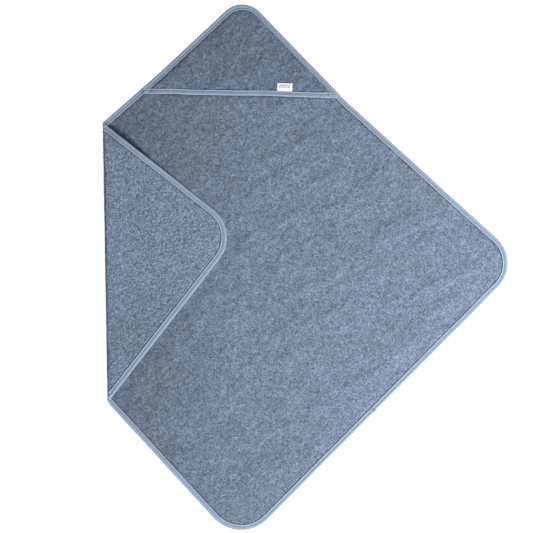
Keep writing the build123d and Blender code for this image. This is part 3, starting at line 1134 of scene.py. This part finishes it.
def makeLabel():
    # a folded loop of ribbon, sewn in at the hem's upper edge
    base = labelFrame[0].z
    high = labelFrame[1].z
    middle = (base + high) / 2
    ply, reach = labelLook["ply"], labelLook["length"]
    outer = (high - base) / 2
    turn = np.linspace(-math.pi / 2, math.pi / 2, 9)
    straight = np.linspace(-0.003, reach - outer, 8)
    outside = [(v, -outer) for v in straight[:-1]]
    outside += [(reach - outer + outer * math.cos(t), outer * math.sin(t)) for t in turn]
    outside += [(v, outer) for v in straight[:-1][::-1]]
    inner = outer - ply
    inside = [(v, inner) for v in straight[:-1]]
    inside += [(reach - outer + inner * math.cos(t), inner * math.sin(t)) for t in turn[::-1]]
    inside += [(v, -inner) for v in straight[:-1][::-1]]
    section = np.array(outside + inside)
    count = 25
    across = np.linspace(-0.5, 0.5, count) * labelLook["width"]
    root = np.array(jointNamed["label_flip"]["pos_m"][:2])
    start = root + (labelMiddle - root) @ hemAlong * hemAlong
    around = len(section)
    selvedge = 0.00008 * ease(np.abs(across), 0.0142, 0.0150)
    wave = labelLook["bow"] * (1 - (2 * across / labelLook["width"]) ** 2) * 0.5
    swell = ease(section[:, 0], 0.0, 0.006) * (1 - ease(section[:, 0], 0.009, 0.0160))
    heights = middle + section[None, :, 1] + wave[:, None] * swell[None, :] * (section[None, :, 1] > 0)
    sunk = 0.0013 * (1 - ease(section[:, 0], -0.001, 0.004))
    heights = heights + selvedge[:, None] * np.sign(section[None, :, 1]) - sunk
    flat = start + across[:, None, None] * hemAlong + section[None, :, 0, None] * hemUp
    points = np.concatenate([flat.reshape(-1, 2), heights.reshape(-1, 1)], axis=1)
    ringIndex = np.arange(count * around).reshape(count, around)
    first, second = ringIndex[:-1], ringIndex[1:]
    quads = np.stack([first, second, np.roll(second, -1, 1), np.roll(first, -1, 1)], axis=2).reshape(-1, 4)
    caps = [ringIndex[:1], ringIndex[-1:, ::-1]]
    flatPlace = np.stack([np.repeat(across, around), np.tile(section[:, 0], count)], axis=1)
    mesh = meshFrom("wovenLabel", points, [quads, *caps], flatPlace)
    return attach(finished(mesh, labelFinishMade, "label", "woven_label"), "label")


joinLook = {"length": 0.008, "ply": 0.0005}


def makeJoin():
    # the tape's end, turned under and laid over its start
    centre = np.array([(joinFrame[0].x + joinFrame[1].x) / 2, (joinFrame[0].y + joinFrame[1].y) / 2])
    side = np.array(towelCut["rightCorner"][:2]) - towelCut["bottomCorner"][:2]
    side /= np.linalg.norm(side)
    inward = np.array([-side[1], side[0]])
    corner = np.array(towelCut["bottomCorner"][:2])
    onEdge = corner + (centre - corner) @ side * side
    section = tapeSection()
    face = section[:13]
    over = face + np.stack([np.zeros(13), np.full(13, joinLook["ply"])], axis=1)
    over[0] = (-joinLook["ply"], -0.0012)
    over[1] = (-joinLook["ply"] * 0.95, 0.0002)
    over[2] = (-0.0001, 0.0011)
    under = face[::-1] - [0, 0.00012]
    under[-1] = (0.0001, -0.0012)
    loop = np.concatenate([over[::-1], under[::-1]])
    count = 13
    along = np.linspace(-0.5, 0.5, count) * joinLook["length"]
    line = onEdge + along[:, None] * side
    lift = 1 - 0.22 * np.abs(np.linspace(-1, 1, count)) ** 6
    # painted shade: a dark line across the tape where its end lies over its start
    creaseShade = ease(along, 0.0004, 0.0016) * (1 - ease(along, 0.0024, 0.0036))
    mesh = sweepMesh("joinTape", line, along + 0.004, np.full(count, bodyThick / 2), lift, loop,
                     pressed=creaseShade)
    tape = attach(finished(mesh, tapeFinishMade, "tape", "binding_join"), "towel_body")
    ends = onEdge + np.array([0.0005, 0.0099])[:, None] * inward + side * 0.0015
    seam, marks = evenLine(ends, 0.001)
    height = joinFrame[1].z - 0.0001
    thread = stitchMesh("joinStitches", seam, marks, 0.0, lambda at: np.full(at.shape, height), stitchLook)
    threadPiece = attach(finished(thread, threadFinishMade, "thread", "join_stitch"), "towel_body")
    return [tape, threadPiece]


print("pieces: body terry")
bodyPiece = makeBody()
print("pieces: bound edge")
edgePieces = makeEdge()
print("pieces: folded corner")
cornerPiece, cornerTrim = makeCorner()
print("pieces: the fold itself")
foldPiece, foldTapes = makeFold()
print("pieces: hood")
hoodLeft, hoodRight, hemTapes, hemThreads = makeHood()
print("pieces: label and tape join")
labelPiece = makeLabel()
joinPieces = makeJoin()


studio = {
    "floorColour": (0.93, 0.935, 0.94, 1),
    "floorGlow": 0.80,
    "skyStrength": 0.25,
    "keyPlace": (1.30, -2.15, 1.45),
    "keySize": 0.6,
    "keyPower": 68,
    "sidePlace": (1.35, -0.05, 0.85),
    "sideSize": 0.8,
    "sidePower": 9,
    "cameraAim": (-0.0788, 0.0020),
    "cameraHeight": 6.0,
    "viewWidth": 1.082,
}


def makeFloor():
    corners = [(-15, -15), (15, -15), (15, 15), (-15, 15)]
    points = np.array([(*corner, -0.0004) for corner in corners], float)
    mesh = meshFrom("floor", points, [np.array([[0, 1, 2, 3]])], points[:, :2])
    material, tree, shader, cloth = newMaterial("palePaper")
    grain = placeGroup(tree, cottonShade, Place=cloth, Patch_Size=0.3, Strength=0.006)
    colour = place(tree, "ShaderNodeRGB").outputs[0]
    colour.default_value = studio["floorColour"]
    tree.links.new(shaded(tree, colour, grain["Shade"]), shader.inputs["Base Color"])
    shader.inputs["Roughness"].default_value = 0.9
    shader.inputs["Specular IOR Level"].default_value = 0.1
    shader.inputs["Emission Color"].default_value = (1, 1, 1, 1)
    shader.inputs["Emission Strength"].default_value = studio["floorGlow"]
    pieceFrom(mesh, material)


def makeLight():
    world = bpy.data.worlds.new("softStudio")
    world.use_nodes = True
    world.node_tree.nodes["Background"].inputs["Color"].default_value = (1.0, 1.0, 1.0, 1)
    world.node_tree.nodes["Background"].inputs["Strength"].default_value = studio["skyStrength"]
    bpy.context.scene.world = world
    for name in ("key", "side"):
        light = bpy.data.lights.new(name + "Light", "AREA")
        light.shape = "DISK"
        light.size = studio[name + "Size"]
        light.energy = studio[name + "Power"]
        lamp = bpy.data.objects.new(name + "Light", light)
        bpy.context.scene.collection.objects.link(lamp)
        lamp.location = studio[name + "Place"]
        lamp.rotation_mode = "QUATERNION"
        lamp.rotation_quaternion = (-lamp.location).to_track_quat("-Z", "Y")


def makeCamera():
    camera = bpy.data.objects.new("camera", bpy.data.cameras.new("camera"))
    bpy.context.scene.collection.objects.link(camera)
    camera.location = (*studio["cameraAim"], studio["cameraHeight"])
    camera.data.sensor_width = 36
    camera.data.lens = 36 * studio["cameraHeight"] / studio["viewWidth"]
    camera.data.clip_end = 50
    bpy.context.scene.camera = camera


print("studio: floor, light and camera")
makeFloor()
makeLight()
makeCamera()
bpy.context.scene.view_settings.view_transform = "Standard"
